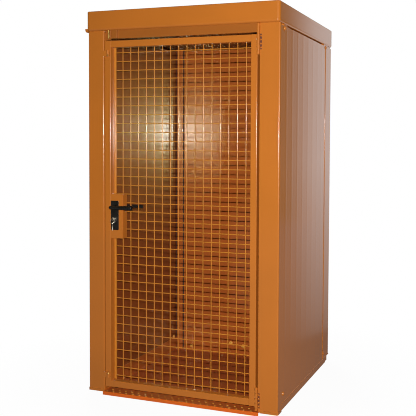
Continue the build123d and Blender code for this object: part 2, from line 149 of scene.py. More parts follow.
# Moulded nylon or rubber: a fine grain from the mould, polished a little where it is rubbed.
def makeMoulded(name, look):
    material, tree = startMaterial(name)
    place = addNode(tree, "ShaderNodeTexCoord").outputs["Object"]
    rubbed = addNode(tree, "ShaderNodeTexNoise",
                     {"Scale": 1000 / look["rubbedMm"], "Detail": look["rubbedDetail"]}, {"Vector": place})
    tone = addNode(tree, "ShaderNodeValToRGB",
                   {"stops": ((noiseLow, look["darkTone"]), (noiseHigh, look["lightTone"]))}, {"Fac": rubbed})
    gloss = addNode(tree, "ShaderNodeMapRange",
                    {"From Min": look["rubbedLow"], "From Max": look["rubbedHigh"],
                     "To Min": look["polished"], "To Max": look["dull"]}, {"Value": rubbed})
    grain = addNode(tree, "ShaderNodeTexNoise",
                    {"Scale": 1000 / look["grainMm"], "Detail": look["grainDetail"]}, {"Vector": place})
    bump = addNode(tree, "ShaderNodeBump",
                   {"Strength": look["grainStrength"], "Distance": look["grainHeight"]}, {"Height": grain})
    shader = addNode(tree, "ShaderNodeBsdfPrincipled", {"IOR": look["ior"]},
                     {"Base Color": tone, "Roughness": gloss, "Normal": bump})
    addNode(tree, "ShaderNodeOutputMaterial", None, {"Surface": shader})
    return material


# Brushed metal plating: fine drawn lines, and a soft tarnish in patches.
def makePlating(name, look):
    material, tree = startMaterial(name)
    place = addNode(tree, "ShaderNodeTexCoord").outputs["Object"]
    drawn = addNode(tree, "ShaderNodeMapping",
                    {"Scale": [1000 * count for count in look["linesPerMm"]]}, {"Vector": place})
    lines = addNode(tree, "ShaderNodeTexNoise", {"Scale": 1.0, "Detail": look["lineDetail"]},
                    {"Vector": drawn})
    tarnish = addNode(tree, "ShaderNodeTexNoise",
                      {"Scale": 1000 / look["patchMm"], "Detail": look["patchDetail"]}, {"Vector": place})
    tone = addNode(tree, "ShaderNodeValToRGB",
                   {"stops": ((noiseLow, look["darkTone"]), (noiseHigh, look["lightTone"]))},
                   {"Fac": tarnish})
    gloss = addNode(tree, "ShaderNodeMapRange",
                    {"From Min": noiseLow, "From Max": noiseHigh,
                     "To Min": look["dull"], "To Max": look["polished"]}, {"Value": tarnish})
    bump = addNode(tree, "ShaderNodeBump",
                   {"Strength": look["lineStrength"], "Distance": look["lineDepth"]}, {"Height": lines})
    shader = addNode(tree, "ShaderNodeBsdfPrincipled", {"Metallic": 1.0},
                     {"Base Color": tone, "Roughness": gloss, "Normal": bump})
    addNode(tree, "ShaderNodeOutputMaterial", None, {"Surface": shader})
    return material


# Hot-dip galvanised sheet: zinc spangles, most of them painted nearly black as painted shade and a
# few pale, each with a gloss of its own.
def makeGalvanised(name, look):
    material, tree = startMaterial(name)
    place = addNode(tree, "ShaderNodeTexCoord").outputs["Object"]
    spangle = addNode(tree, "ShaderNodeTexVoronoi", {"Scale": 1000 / look["spangleMm"]}, {"Vector": place})
    facet = addNode(tree, "ShaderNodeSeparateColor", None, {"Color": spangle.outputs["Color"]})
    tone = addNode(tree, "ShaderNodeValToRGB",
                   {"stops": ((look["darkUpTo"], look["darkTone"]), (look["lightFrom"], look["lightTone"]))},
                   {"Fac": facet})
    gloss = addNode(tree, "ShaderNodeMapRange", {"To Min": look["polished"], "To Max": look["dull"]},
                    {"Value": facet})
    shader = addNode(tree, "ShaderNodeBsdfPrincipled", {"Metallic": 1.0},
                     {"Base Color": tone, "Roughness": gloss})
    addNode(tree, "ShaderNodeOutputMaterial", None, {"Surface": shader})
    return material


orangeLook = {
    "darkTone": "BC6D26", "lightTone": "C47127", "driftMm": 400.0, "driftDetail": 3.0, "ior": 1.5,
    "gloss": 0.155, "glossBelow": 0.01, "glossAbove": 0.02, "haze": 0.3, "hazeRoughness": 0.32,
    "peelMm": 6.0, "peelDetail": 2.0, "peelStrength": 0.12, "peelHeight": 0.0004,
}
# Inside the store: a browner tone that is painted shade, and a golden tint painted into the reflections.
insideLook = {
    "insideTone": "A85523", "insideLightTone": "B15924", "tint": "FFFFFF", "insideTint": "FFF08A",
    "insideFrom": -0.44, "insideTo": -0.40, "insideEnd": 0.3985, "insideMiddle": 0.01, "insideHalf": 0.4765,
    "shine": 0.5, "insideShine": 0.75, "insideHaze": 1.0, "insideHazeRoughness": 0.105, "insideDull": 0.10,
}
mouldedLook = {
    "rubbedMm": 22.2222, "rubbedDetail": 3.0, "rubbedLow": 0.35, "rubbedHigh": 0.65, "ior": 1.5,
    "grainDetail": 2.0, "grainHeight": 0.0002,
}
platedLook = {
    "linesPerMm": (3.0, 3.0, 0.15), "lineDetail": 2.0, "lineStrength": 0.15, "lineDepth": 0.0001,
    "patchDetail": 4.0,
}

# The coat of the whole store, and one for the left wall whose inside is darker still, as painted shade.
orangeCoat = makePowderCoat("orangePowderCoat", {**orangeLook, **insideLook})
shadedCoat = makePowderCoat("paintedShadeLeftWallCoat", {
    **orangeLook, **insideLook, "insideTone": "7E3F1D", "insideLightTone": "86431E",
})
# Darker on the lintel and what lies behind it (painted shade), lighter and yellower on the door's wires
# (painted light).
lintelShadeCoat = makePowderCoat("paintedShadePowderCoat", {**orangeLook, "darkTone": "9E5A21", "lightTone": "A65F24"})
wireCoat = makePowderCoat("paintedLightWireCoat", {**orangeLook, "darkTone": "C47A28", "lightTone": "CE822A"})
# Redder and brighter on the threshold, partly its own tone and partly painted light; its tread painted darker
# as painted shade, and its bumps pale yellow as painted highlights.
sillCoat = makePowderCoat("redOrangeSillCoat", {
    **orangeLook, "darkTone": "DE651A", "lightTone": "E86B1C", "driftMm": 250.0, "gloss": 0.25,
    "peelStrength": 0.2,
})
treadShadeCoat = makePowderCoat("paintedShadeTreadCoat", {
    **orangeLook, "darkTone": "B45A22", "lightTone": "C06225", "gloss": 0.4, "driftMm": 111.111, "haze": 0.0,
})
highlightCoat = makePowderCoat("paintedHighlightCoat", {**orangeLook, "darkTone": "D9963A", "lightTone": "E2A347"})
# Dull on the floor, where cylinders stand, and darker there as painted shade; dark beside the hinges' welds
# as painted shade in the gaps.
floorCoat = makePowderCoat("dullPaintedShadeFloorCoat", {
    **orangeLook, "darkTone": "A74F22", "lightTone": "B35825", "gloss": 0.45, "haze": 0.0,
})
gapShadeCoat = makePowderCoat("paintedGapShadeCoat", {
    **orangeLook, "darkTone": "5E2C16", "lightTone": "6A3319", "gloss": 0.6, "haze": 0.0,
})
blackNylon = makeMoulded("blackMouldedNylon", {
    **mouldedLook, "darkTone": "131211", "lightTone": "1B1A18", "polished": 0.24, "dull": 0.42,
    "grainMm": 0.6, "grainStrength": 0.25,
})
# Dark strips beside the corner rail, painted as its shade lines.
shadeStripRubber = makeMoulded("paintedShadeStripRubber", {
    **mouldedLook, "darkTone": "2E1A10", "lightTone": "3A2115", "polished": 0.6, "dull": 0.8,
    "grainMm": 0.8, "grainStrength": 0.2,
})
nickelBrass = makePlating("nickelPlatedBrass", {
    **platedLook, "darkTone": "A8A195", "lightTone": "C4BFB4", "polished": 0.2, "dull": 0.38,
    "patchMm": 11.1111,
})
yellowZinc = makePlating("yellowPassivatedZinc", {
    **platedLook, "darkTone": "D9B056", "lightTone": "F0D283", "polished": 0.25, "dull": 0.45,
    "patchMm": 8.33333,
})
zincSheet = makeGalvanised("shadeDarkGalvanisedSheet", {
    "darkTone": "161615", "lightTone": "9C9E97", "darkUpTo": 0.55, "lightFrom": 1.0,
    "polished": 0.2, "dull": 0.5, "spangleMm": 16.0,
})

# Every node that isn't named here has the orange coat.
nodeFinishes = {
    "threshold": sillCoat, "floor_plate": floorCoat, "wall_left": shadedCoat,
    "lintel": lintelShadeCoat, "pocket_bracket": lintelShadeCoat,
    "lever_outer": blackNylon, "lever_inner": blackNylon,
    "handle_plate_outer": blackNylon, "handle_plate_inner": blackNylon,
    "lock_cylinder": nickelBrass, "key": nickelBrass, "spindle": nickelBrass,
}
for nodeName, nodeObject in nodes.items():
    nodeObject.data.materials.clear()
    nodeObject.data.materials.append(nodeFinishes.get(nodeName, orangeCoat))
print("materials set")


cameraSolve = {
    "place": (1.76417, -3.93090, 1.44431),
    "yaw": 0.3276, "pitch": 0.0389, "roll": 0.0076,
    "focalPx": 701.0932, "centrePx": (280.9758, 170.3869), "framePx": 416.0, "sensorMm": 36.0,
}


def addCamera(solve):
    sinYaw, cosYaw = math.sin(solve["yaw"]), math.cos(solve["yaw"])
    sinPitch, cosPitch = math.sin(solve["pitch"]), math.cos(solve["pitch"])
    forward = Vector((-sinYaw * cosPitch, cosYaw * cosPitch, -sinPitch))
    levelRight = Vector((cosYaw, sinYaw, 0.0))
    levelUp = levelRight.cross(forward)
    right = levelRight * math.cos(solve["roll"]) + levelUp * math.sin(solve["roll"])
    up = levelUp * math.cos(solve["roll"]) - levelRight * math.sin(solve["roll"])
    data = bpy.data.cameras.new("photoCamera")
    camera = bpy.data.objects.new("photoCamera", data)
    scene.collection.objects.link(camera)
    turn = Matrix((right, up, -forward)).transposed().to_4x4()
    camera.matrix_world = Matrix.Translation(solve["place"]) @ turn
    size = solve["framePx"]
    data.sensor_width = solve["sensorMm"]
    data.lens = solve["focalPx"] / size * solve["sensorMm"]
    data.shift_x = (size / 2 - solve["centrePx"][0]) / size
    data.shift_y = (solve["centrePx"][1] - size / 2) / size
    scene.camera = camera


addCamera(cameraSolve)
print("camera set")


# A small flash just above the lens throws the wires' shadows onto the walls behind them.
# The panel overhead and the fills only reach matt colour: they have no reflection of their own.
overLens = Vector((0.0, 0.0, 0.137))
flashPlace = Vector(cameraSolve["place"]) + overLens
lamps = {
    "flashPlace": flashPlace, "flashAim": (0.0, 0.0, 1.2), "flashSize": (0.014, 0.007), "flashWatts": 162.0,
    "panelPlace": (0.3, -1.6, 4.6), "panelAim": (0.0, 0.0, 1.0), "panelSize": (3.0, 2.0), "panelWatts": 6.0,
    "fillPlace": (4.6, 0.4, 0.9), "fillAim": (0.586, 0.0, 0.9), "fillSize": (2.5, 1.5), "fillWatts": 45.0,
    "rearPlace": (-3.2, 4.2, 2.6), "rearAim": (0.0, 0.0, 1.2), "rearSize": (3.0, 3.0), "rearWatts": 330.0,
}


def addAreaLight(name, key, mirrored=False):
    place, aim, size, watts = (lamps[key + part] for part in ("Place", "Aim", "Size", "Watts"))
    data = bpy.data.lights.new(name, "AREA")
    data.shape = "RECTANGLE"
    data.size, data.size_y = size
    data.energy = watts
    light = bpy.data.objects.new(name, data)
    light.location = place
    light.rotation_euler = (Vector(aim) - Vector(place)).to_track_quat("-Z", "Y").to_euler()
    light.visible_glossy = mirrored
    scene.collection.objects.link(light)


addAreaLight("cameraFlash", "flash", mirrored=True)
addAreaLight("ceilingPanel", "panel")
addAreaLight("sideFill", "fill")
addAreaLight("rearFill", "rear")


# The hall is white to the camera, dim to matt surfaces, and dim and yellowish in reflections.
def addWorld(look):
    world = bpy.data.worlds.new("studioHall")
    scene.world = world
    world.use_nodes = True
    tree = world.node_tree
    tree.nodes.clear()
    ray = addNode(tree, "ShaderNodeLightPath")
    mirrored = addNode(tree, "ShaderNodeMath", {"operation": "MAXIMUM"},
                       {0: ray.outputs["Is Glossy Ray"], 1: ray.outputs["Is Transmission Ray"]})
    unseen = addNode(tree, "ShaderNodeMapRange", {"To Min": look["ambient"], "To Max": look["mirrored"]},
                     {"Value": mirrored})
    level = addNode(tree, "ShaderNodeMath", {"operation": "MAXIMUM"},
                    {0: ray.outputs["Is Camera Ray"], 1: unseen})
    tone = addNode(tree, "ShaderNodeMix",
                   {"data_type": "RGBA", 6: linearColour(look["tone"]), 7: linearColour(look["mirrorTone"])},
                   {0: mirrored})
    background = addNode(tree, "ShaderNodeBackground", None, {"Color": tone.outputs[2], "Strength": level})
    addNode(tree, "ShaderNodeOutputWorld", None, {"Surface": background.outputs["Background"]})


addWorld({"ambient": 0.015, "mirrored": 0.1, "tone": "FFFFFF", "mirrorTone": "FFE48C"})
print("light set")


# The floor is white, and its shadow fades out away from the part. The panel beside the part
# only shows in its glossy side: its near edge divides that side into a brown and a pale part.
studio = {
    "floorRadius": 9.0, "floorSides": 64, "paint": "FFFFFF", "floorShade": 0.04, "fadeStart": 0.8,
    "fadeEnd": 1.6, "floorMirror": 0.16, "floorTone": 0.8, "floorBounce": 0.1,
    "panelNear": (0.966, 0.720), "panelFar": (0.534, 2.150), "panelHeight": 3.4, "fullLevelAt": 1.08,
    "panelLowZ": 0.0, "panelHighZ": 1.3, "panelLowLevel": 0.3, "panelHighLevel": 1.08,
}


def addStageObject(name, bm, material):
    mesh = bpy.data.meshes.new(name)
    bm.to_mesh(mesh)
    bm.free()
    stageObject = bpy.data.objects.new(name, mesh)
    scene.collection.objects.link(stageObject)
    mesh.materials.append(material)


def addFloor(look):
    material, tree = startMaterial("paintedStudioFloor")
    paint = linearColour(look["paint"])
    ray = addNode(tree, "ShaderNodeLightPath")
    place = addNode(tree, "ShaderNodeTexCoord").outputs["Object"]
    away = addNode(tree, "ShaderNodeVectorMath", {"operation": "LENGTH"}, {0: place})
    tone = addNode(tree, "ShaderNodeMapRange", {"To Min": look["floorBounce"], "To Max": look["floorTone"]},
                   {"Value": ray.outputs["Is Camera Ray"]})
    matt = addNode(tree, "ShaderNodeBsdfDiffuse", None, {"Color": tone})
    white = addNode(tree, "ShaderNodeEmission", {"Color": paint})
    fade = addNode(tree, "ShaderNodeMapRange",
                   {"From Min": look["fadeStart"], "From Max": look["fadeEnd"],
                    "To Min": 1.0 - look["floorShade"]}, {"Value": away.outputs["Value"]})
    share = addNode(tree, "ShaderNodeMath", {"operation": "MULTIPLY"},
                    {0: ray.outputs["Is Camera Ray"], 1: fade})
    seen = addNode(tree, "ShaderNodeMixShader", None, {0: share, 1: matt, 2: white})
    mirror = addNode(tree, "ShaderNodeEmission", {"Color": paint, "Strength": look["floorMirror"]})
    both = addNode(tree, "ShaderNodeMixShader", None, {0: ray.outputs["Is Glossy Ray"], 1: seen, 2: mirror})
    addNode(tree, "ShaderNodeOutputMaterial", None, {"Surface": both})
    bm = bmesh.new()
    bmesh.ops.create_circle(bm, cap_ends=True, segments=look["floorSides"], radius=look["floorRadius"])
    addStageObject("studioFloor", bm, material)


def addPalePanel(look):
    material, tree = startMaterial("whiteReflectorPanel")
    ray = addNode(tree, "ShaderNodeLightPath")
    side = addNode(tree, "ShaderNodeNewGeometry")
    place = addNode(tree, "ShaderNodeTexCoord").outputs["Object"]
    parts = addNode(tree, "ShaderNodeSeparateXYZ", None, {"Vector": place})
    level = addNode(tree, "ShaderNodeMapRange",
                    {"From Min": look["panelLowZ"], "From Max": look["panelHighZ"],
                     "To Min": look["panelLowLevel"], "To Max": look["panelHighLevel"]},
                    {"Value": parts.outputs["Z"]})
    grown = addNode(tree, "ShaderNodeMapRange",
                    {"From Min": look["panelNear"][1], "From Max": look["fullLevelAt"]},
                    {"Value": parts.outputs["Y"]})
    lit = addNode(tree, "ShaderNodeMath", {"operation": "SUBTRACT", 0: 1.0}, {1: side.outputs["Backfacing"]})
    front = addNode(tree, "ShaderNodeMath", {"operation": "MULTIPLY"}, {0: grown, 1: lit})
    share = addNode(tree, "ShaderNodeMath", {"operation": "MULTIPLY"},
                    {0: front, 1: ray.outputs["Is Glossy Ray"]})
    clear = addNode(tree, "ShaderNodeBsdfTransparent")
    white = addNode(tree, "ShaderNodeEmission", {"Color": linearColour(look["paint"])}, {"Strength": level})
    mix = addNode(tree, "ShaderNodeMixShader", None, {0: share, 1: clear, 2: white})
    addNode(tree, "ShaderNodeOutputMaterial", None, {"Surface": mix})
    bm = bmesh.new()
    near = bm.verts.new((*look["panelNear"], 0.0))
    far = bm.verts.new((*look["panelFar"], 0.0))
    foot = bm.edges.new((near, far))
    raised = bmesh.ops.extrude_edge_only(bm, edges=[foot])["geom"]
    top = [v for v in raised if isinstance(v, bmesh.types.BMVert)]
    bmesh.ops.translate(bm, verts=top, vec=(0.0, 0.0, look["panelHeight"]))
    for face in bm.faces:
        face.normal_update()
        if face.normal.y > 0:
            face.normal_flip()
    addStageObject("palePanel", bm, material)


addFloor(studio)
addPalePanel(studio)
print("floor set")


def addPiece(name, bm, material, body, smooth=True, replaced=()):
    for face in bm.faces:
        face.smooth = smooth
    mesh = bpy.data.meshes.new(name)
    bm.to_mesh(mesh)
    bm.free()
    piece = bpy.data.objects.new(name, mesh)
    scene.collection.objects.link(piece)
    mesh.materials.append(material)
    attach(piece, body)
    if replaced:
        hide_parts(*replaced)
    return piece


def softenEdges(piece, degrees=35.0):
    # Edges between faces that turn by more than this stay sharp.
    piece.data.set_sharp_from_angle(angle=math.radians(degrees))


def facing(place, direction, turn=0.0):
    # A matrix that stands a shape made along +Z at a place, along a direction.
    stand = Vector(direction).to_track_quat("Z", "Y").to_matrix().to_4x4()
    return Matrix.Translation(place) @ stand @ Matrix.Rotation(turn, 4, "Z")


mergeDistance = 1e-6


def addTurned(bm, profile, segments, matrix, capped=True):
    # A shape turned about Z from points of radius and height, its ends closed at the middle.
    if capped:
        profile = [(0.0, profile[0][1]), *profile, (0.0, profile[-1][1])]
    points = [bm.verts.new((radius, 0.0, height)) for radius, height in profile]
    edges = [bm.edges.new(pair) for pair in zip(points, points[1:])]
    made = bmesh.ops.spin(bm, geom=points + edges, cent=(0, 0, 0), axis=(0, 0, 1), dvec=(0, 0, 0),
                          angle=math.radians(360), steps=segments, use_merge=True, use_duplicate=False)
    ring = set(points)
    for element in made["geom_last"]:
        if isinstance(element, bmesh.types.BMVert):
            ring.add(element)
    shape = connected(ring)
    bmesh.ops.remove_doubles(bm, verts=shape, dist=mergeDistance)
    shape = connected({v for v in shape if v.is_valid})
    faces = list({face for v in shape for face in v.link_faces})
    bmesh.ops.recalc_face_normals(bm, faces=faces)
    bmesh.ops.transform(bm, matrix=matrix, verts=shape)
    return shape


def connected(start):
    # All points that edges join to the first ones.
    found = set(start)
    waiting = list(found)
    while waiting:
        v = waiting.pop()
        for edge in v.link_edges:
            other = edge.other_vert(v)
            if other not in found:
                found.add(other)
                waiting.append(other)
    return list(found)


def domePoints(radius, height, steps, base=0.0):
    # A dome's profile for addTurned, from its rim up to the middle.
    points = []
    for i in range(steps + 1):
        angle = math.radians(90 * i / steps)
        points.append((radius * math.cos(angle), base + height * math.sin(angle)))
    return points


def addBar(bm, start, end, radius, segments):
    start, end = Vector(start), Vector(end)
    middle = (start + end) / 2
    bmesh.ops.create_cone(bm, cap_ends=True, segments=segments, radius1=radius, radius2=radius,
                          depth=(end - start).length, matrix=facing(middle, end - start, math.pi / segments))


def addBlock(bm, low, high):
    low, high = Vector(low), Vector(high)
    grow = Matrix.Diagonal((*(high - low), 1.0))
    bmesh.ops.create_cube(bm, size=1.0, matrix=Matrix.Translation((low + high) / 2) @ grow)


# Door mesh: round wire welded where it crosses, uprights in front, and an upright flat bar at
# each side. It is cut away behind the lock case.
wires = {
    "wire": 0.0052, "pitch": 0.05, "firstColumn": 0.0415, "firstRow": 0.005, "flatWidth": 0.014,
    "caseOverlap": 0.008, "sides": 10, "nugget": 0.0033, "nuggetLevel": 1, "softTo": 50.0,
}


def makeDoorMesh(size):
    low = Vector(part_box("mesh_lower")[0])
    high = Vector(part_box("mesh_upper")[1])
    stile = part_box("door_stile_lock")[0]
    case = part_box("lock_case")
    wire = size["wire"]
    frontY, backY = low.y + wire / 2, low.y + wire * 1.5
    windowX = case[1][0] - size["caseOverlap"]
    windowLow = case[0][2] + size["caseOverlap"]
    windowHigh = case[1][2] - size["caseOverlap"]
    columns = []
    x = stile[0] + size["firstColumn"]
    while x < high.x - wire:
        columns.append(x)
        x += size["pitch"]
    rows = []
    z = stile[2] + size["firstRow"]
    while z < high.z - wire:
        rows.append(z)
        z += size["pitch"]
    bm = bmesh.new()
    for x in columns:
        spans = [(low.z, high.z)]
        if x < windowX:
            spans = [(low.z, windowLow), (windowHigh, high.z)]
        for z0, z1 in spans:
            if x in (columns[0], columns[-1]):
                half = size["flatWidth"] / 2
                addBlock(bm, (x - half, low.y, z0), (x + half, low.y + wire, z1))
            else:
                addBar(bm, (x, frontY, z0), (x, frontY, z1), wire / 2, size["sides"])
    for z in rows:
        x0 = windowX if windowLow < z < windowHigh else low.x
        addBar(bm, (x0, backY, z), (high.x, backY, z), wire / 2, size["sides"])
        for x in columns:
            if x > x0:
                spot = Matrix.Translation((x, low.y + wire, z))
                bmesh.ops.create_icosphere(bm, subdivisions=size["nuggetLevel"], radius=size["nugget"],
                                           matrix=spot)
    # The wires' lighter, yellower coat is painted light.
    piece = addPiece("door_wires", bm, wireCoat, "door", replaced=("mesh_lower", "mesh_upper"))
    softenEdges(piece, size["softTo"])


makeDoorMesh(wires)
print("door mesh made")


# Outer skins: sheet with shallow upright ribs, which show only as faint bands in the gloss.
skin = {
    "base": 0.0002, "rib": 0.0003, "ribPitch": 0.1, "ribHalf": 0.026, "step": 0.004, "edge": 0.007,
    "foot": 0.0397, "head": 0.011,
}


def makeSkin(name, wallName, normalAxis, side):
    low, high = (Vector(corner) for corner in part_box(wallName))
    along = 1 - normalAxis
    start = low[along] + skin["edge"]
    end = high[along] - skin["edge"]
    face = high[normalAxis] if side > 0 else low[normalAxis]
    segments = round((end - start) / skin["step"])
    bm = bmesh.new()
    bmesh.ops.create_grid(bm, x_segments=segments, y_segments=1, size=0.5)
    for v in bm.verts:
        place = start + (v.co.x + 0.5) * (end - start)
        height = (low.z + skin["foot"]) if v.co.y < 0 else (high.z - skin["head"])
        fromStart = place - start
        ribs = fromStart / skin["ribPitch"]
        nearest = abs(ribs - round(ribs)) * skin["ribPitch"]
        swell = 0.0
        if nearest < skin["ribHalf"]:
            swell = skin["rib"] * (0.5 + 0.5 * math.cos(math.pi * nearest / skin["ribHalf"]))
        if fromStart < skin["edge"] or end - place < skin["edge"]:
            swell = 0.0
        out = face + side * (skin["base"] + swell)
        v.co = (out, place, height) if normalAxis == 0 else (place, out, height)
    for meshFace in bm.faces:
        meshFace.normal_update()
        if meshFace.normal[normalAxis] * side < 0:
            meshFace.normal_flip()
    addPiece(name, bm, orangeCoat, "container")


makeSkin("skin_right", "wall_right", 0, 1)
makeSkin("skin_left", "wall_left", 0, -1)
makeSkin("skin_rear", "wall_rear", 1, 1)
print("skins made")


# Dome-headed bolts, on the outer sides and low on the inner faces, where they are pale yellow as painted
# highlights.
bolts = {
    "headRadius": 0.010, "headHeight": 0.0065, "washerRadius": 0.0125, "washer": 0.0015,
    "sides": 20, "domeSteps": 5,
    "sidePlaces": ((-0.4183, 2.046), (0.3977, 2.051), (-0.4013, 0.098), (0.4097, 0.086)),
    "rearPlaces": ((-0.347, 0.048), (-0.054, 0.094), (0.034, 0.080)), "leftPlaces": ((0.36, 0.107),),
}


def makeBolts(size):
    bm = bmesh.new()
    head = domePoints(size["headRadius"], size["headHeight"], size["domeSteps"], size["washer"])
    profile = [(size["washerRadius"], 0.0), (size["washerRadius"], size["washer"]), *head]
    left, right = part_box("wall_left")[0][0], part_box("wall_right")[1][0]
    for y, z in size["sidePlaces"]:
        addTurned(bm, profile, size["sides"], facing((right, y, z), (1, 0, 0)))
        addTurned(bm, profile, size["sides"], facing((left, y, z), (-1, 0, 0)))
    piece = addPiece("side_bolts", bm, orangeCoat, "container")
    softenEdges(piece)
    bm = bmesh.new()
    rear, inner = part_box("wall_rear")[0][1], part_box("wall_left")[1][0]
    for x, z in size["rearPlaces"]:
        addTurned(bm, profile, size["sides"], facing((x, rear, z), (0, -1, 0)))
    for y, z in size["leftPlaces"]:
        addTurned(bm, profile, size["sides"], facing((inner, y, z), (1, 0, 0)))
    piece = addPiece("inner_bolts", bm, highlightCoat, "container")
    softenEdges(piece)


makeBolts(bolts)
print("bolts made")


# The threshold's tread is painted darker behind its lip, as painted shade, with raised anti-slip bumps in a
# pale yellow that is painted highlight.
bumps = {
    "shadeFrom": 0.004, "shadeSides": 0.006, "shadeDepth": 0.0004,
    "radius": 0.006, "height": 0.003, "pitch": 0.042, "rows": (0.013, 0.042), "margin": 0.02,
    "sides": 12, "domeSteps": 4,
}


def makeBumps(size):
    low, high = (Vector(corner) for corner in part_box("threshold"))
    profile = domePoints(size["radius"], size["height"], size["domeSteps"])
    bm = bmesh.new()
    for i, row in enumerate(size["rows"]):
        x = low.x + size["margin"] + (size["pitch"] / 2 if i % 2 else 0.0)
        while x < high.x - size["margin"]:
            addTurned(bm, profile, size["sides"], facing((x, low.y + row, high.z), (0, 0, 1)))
            x += size["pitch"]
    treadShade = bmesh.new()
    addBlock(treadShade, (low.x + size["shadeSides"], low.y + size["shadeFrom"], high.z),
             (high.x - size["shadeSides"], high.y - size["shadeSides"], high.z + size["shadeDepth"]))
    addPiece("tread_shade", treadShade, treadShadeCoat, "container", smooth=False)
    addPiece("tread_bumps", bm, highlightCoat, "container")


makeBumps(bumps)
print("bumps made")


# Split ring through the key's eye, with a spare key hanging from it.
keyRing = {
    "eye": (-0.3925, -0.52195, 1.0105), "radius": 0.012, "wire": 0.0009, "turn": 35.0,
    "wireSides": 8, "ringSteps": 32, "bowRadius": 0.0105, "bowHole": 0.0035, "bowSides": 24, "bowDrop": 0.65,
    "thickness": 0.0022, "blade": 0.0075, "bladeLength": 0.028, "bladeDrop": 0.9,
}


def makeKeyRing(size):
    lean = Matrix.Rotation(math.radians(size["turn"]), 4, "Z")
    onEdge = Matrix.Rotation(math.radians(90), 4, "X")
    centre = Vector(size["eye"]) - Vector((0.0, 0.0, size["radius"] - size["wire"]))
    bm = bmesh.new()
    for coil in (-1, 1):
        spot = Matrix.Translation((size["radius"], 0, coil * size["wire"]))
        section = bmesh.ops.create_circle(bm, segments=size["wireSides"], radius=size["wire"],
                                          matrix=spot @ onEdge)
        geom = list(section["verts"]) + list({edge for v in section["verts"] for edge in v.link_edges})
        bmesh.ops.spin(bm, geom=geom, cent=(0, 0, 0), axis=(0, 0, 1), dvec=(0, 0, 0),
                       angle=math.radians(360), steps=size["ringSteps"], use_merge=True, use_duplicate=False)
    bmesh.ops.remove_doubles(bm, verts=bm.verts, dist=mergeDistance)
    bmesh.ops.recalc_face_normals(bm, faces=bm.faces)
    bmesh.ops.transform(bm, matrix=Matrix.Translation(centre) @ lean @ onEdge, verts=bm.verts)
    addPiece("key_ring", bm, nickelBrass, "door")
    addSpareKey(size, centre, lean)


def addSpareKey(size, centre, lean):
    bm = bmesh.new()
    eyeTop = centre.z - size["radius"] + size["bowHole"]
    bow = Vector((centre.x, centre.y, eyeTop - size["bowRadius"] * size["bowDrop"]))
    half = size["thickness"] / 2
    rim = [(size["bowHole"], -half), (size["bowRadius"], -half),
           (size["bowRadius"], half), (size["bowHole"], half)]
    addTurned(bm, rim, size["bowSides"], Matrix.Identity(4), capped=False)
    holeEdges = [edge for edge in bm.edges if edge.is_boundary]
    bmesh.ops.bridge_loops(bm, edges=holeEdges)
    flat = Matrix.Translation(bow) @ lean @ Matrix.Rotation(math.radians(90), 4, "Y")
    bmesh.ops.transform(bm, matrix=flat, verts=bm.verts)
    blade = bmesh.ops.create_cube(bm, size=1.0)["verts"]
    grow = Matrix.Diagonal((size["thickness"], size["blade"], size["bladeLength"], 1.0))
    drop = Vector((0, 0, size["bowRadius"] * size["bladeDrop"] + size["bladeLength"] / 2))
    bmesh.ops.transform(bm, matrix=Matrix.Translation(bow - drop) @ lean @ grow, verts=blade)
    bmesh.ops.recalc_face_normals(bm, faces=bm.faces)
    piece = addPiece("spare_key", bm, nickelBrass, "door")
    softenEdges(piece)


makeKeyRing(keyRing)
print("key ring made")


# Zinc sheet under the roof, which closes the store between its walls, painted nearly black as painted shade.
ceiling = {"thickness": 0.002, "clearance": 0.0004}


def makeCeiling(size):
    clear = size["clearance"]
    left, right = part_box("wall_left")[1][0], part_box("wall_right")[0][0]
    front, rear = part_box("lintel")[1][1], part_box("wall_rear")[0][1]
    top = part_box("roof")[0][2]
    bm = bmesh.new()
    addBlock(bm, (left + clear, front + clear, top - size["thickness"]), (right - clear, rear - clear, top))
    addPiece("ceiling_sheet", bm, zincSheet, "container", smooth=False)


makeCeiling(ceiling)
print("ceiling made")


# Closed strips behind openings, darker as painted shade: a baffle in the vent gap over the rear
# wall, and the plate at the back of the recess beside the lintel, with the catch's upright pin in front of
# it.
closures = {
    "ventGap": 0.010, "inset": 0.005, "spacerEnd": 0.0455, "plate": 0.003, "plateBack": 0.0185,
    "plateAboveDoor": 0.006, "pinRadius": 0.0035, "pinOut": 0.004, "pinSides": 16, "pinDrop": 0.046,
}


def makeClosures(size):
    low, high = (Vector(corner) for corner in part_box("wall_rear"))
    bm = bmesh.new()
    addBlock(bm, (low.x + size["inset"], low.y + size["spacerEnd"], high.z - size["ventGap"]),
             (high.x - size["inset"], high.y - size["inset"], high.z))
    addPiece("vent_baffle", bm, lintelShadeCoat, "container", smooth=False)
    inner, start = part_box("wall_left")[1][0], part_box("lintel")[0]
    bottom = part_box("door_stile_lock")[1][2] + size["plateAboveDoor"]
    bm = bmesh.new()
    addBlock(bm, (inner, start[1] + size["plateBack"] - size["plate"], bottom),
             (start[0], start[1] + size["plateBack"], high.z))
    addPiece("recess_plate", bm, lintelShadeCoat, "container", smooth=False)
    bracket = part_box("pocket_bracket")
    x, y = bracket[0][0] - size["pinRadius"], bracket[0][1] + size["pinOut"]
    bm = bmesh.new()
    addBar(bm, (x, y, high.z - size["pinDrop"]), (x, y, high.z), size["pinRadius"], size["pinSides"])
    piece = addPiece("recess_pin", bm, yellowZinc, "container")
    softenEdges(piece)


makeClosures(closures)
print("closures made")


# Upright rail on the rear wall in the left corner, between two dark strips that are painted shade.
rail = {
    "width": 0.044, "proud": 0.009, "bevel": 0.003, "bevelSteps": 4, "shadeStrip": 0.007, "shadeStripProud": 0.0015,
    "belowRoof": 0.0025,
}


